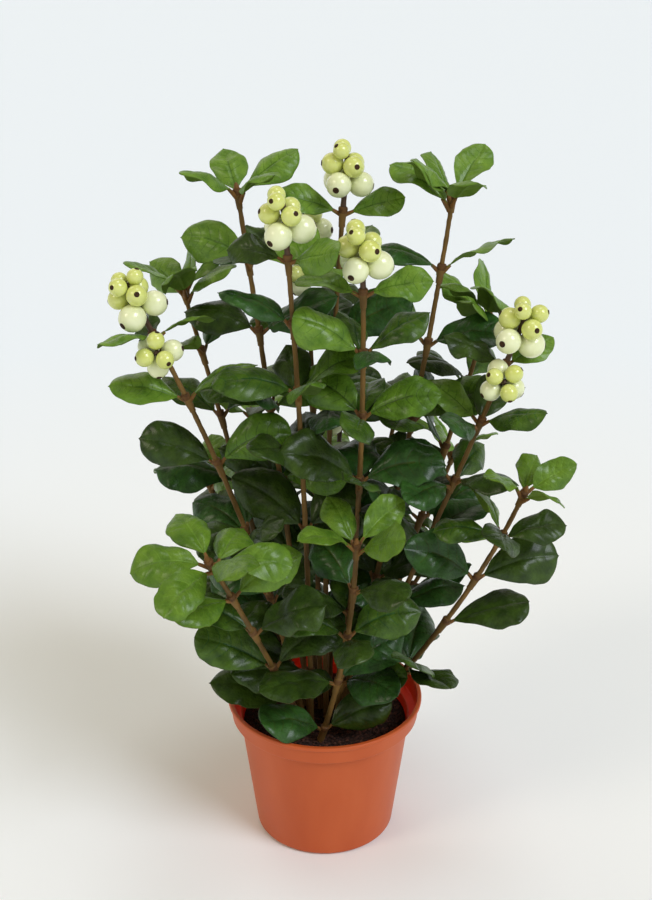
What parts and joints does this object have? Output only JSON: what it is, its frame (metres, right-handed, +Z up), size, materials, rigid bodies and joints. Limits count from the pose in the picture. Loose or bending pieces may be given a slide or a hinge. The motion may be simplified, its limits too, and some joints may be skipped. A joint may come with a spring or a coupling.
{
  "type": "artificial potted snowberry",
  "caption": "Small bushy artificial shrub with opposite oval leaves and clusters of pale berries on wire stems, standing in a round tapered plastic pot.",
  "frame": {"origin": "centre of the pot's flat underside, on the surface it stands on", "axes": "+Z up along the pot's axis, -Y towards the front of the plant, +X to the right as seen from the front"},
  "size_m": [0.2802, 0.2833, 0.466],
  "materials": {
    "terracotta_plastic": "injection moulded polypropylene in terracotta orange, satin",
    "granular_filler": "cast plug topped with dark brown granules, matt and rough",
    "coated_wire": "brown plastic coating over wire, dull",
    "dark_leaves": "moulded leaf with pressed veins, deep green, satin",
    "young_leaves": "moulded leaf with pressed veins, fresh green, with glossy pale berries"
  },
  "bodies": {
    "root": {"back_left_low_leaves": "dark_leaves", "back_left_low_stem": "coated_wire", "back_left_middle_leaves": "dark_leaves", "back_left_middle_stem": "coated_wire", "back_low_leaves": "dark_leaves", "back_low_stem": "coated_wire", "back_outer_leaves": "dark_leaves", "back_outer_stem": "coated_wire", "back_right_low_leaves": "dark_leaves", "back_right_low_stem": "coated_wire", "back_right_middle_head": "young_leaves", "back_right_middle_leaves": "dark_leaves", "back_right_middle_stem": "coated_wire", "back_right_outer_leaves": "dark_leaves", "back_right_outer_stem": "coated_wire", "back_tall_head": "young_leaves", "back_tall_leaves": "dark_leaves", "back_tall_stem": "coated_wire", "centre_tall_head": "young_leaves", "centre_tall_leaves": "dark_leaves", "centre_tall_stem": "coated_wire", "filler": "granular_filler", "front_left_low_head": "young_leaves", "front_left_low_leaves": "dark_leaves", "front_left_low_stem": "coated_wire", "front_left_tall_head": "young_leaves", "front_left_tall_leaves": "dark_leaves", "front_left_tall_stem": "coated_wire", "front_low_head": "young_leaves", "front_low_leaves": "dark_leaves", "front_right_low_head": "young_leaves", "front_right_low_leaves": "dark_leaves", "front_right_low_stem": "coated_wire", "front_tall_head": "young_leaves", "front_tall_leaves": "dark_leaves", "front_tall_stem": "coated_wire", "left_berry_head": "young_leaves", "left_berry_leaves": "dark_leaves", "left_berry_stem": "coated_wire", "left_middle_head": "young_leaves", "left_middle_leaves": "dark_leaves", "left_middle_stem": "coated_wire", "left_tall_head": "young_leaves", "left_tall_leaves": "dark_leaves", "left_tall_stem": "coated_wire", "pot": "terracotta_plastic", "right_berry_head": "young_leaves", "right_berry_leaves": "dark_leaves", "right_berry_stem": "coated_wire", "right_middle_head": "young_leaves", "right_middle_leaves": "dark_leaves", "right_middle_stem": "coated_wire", "right_tall_head": "young_leaves", "right_tall_leaves": "dark_leaves", "right_tall_stem": "coated_wire"}
  },
  "joints": []
}
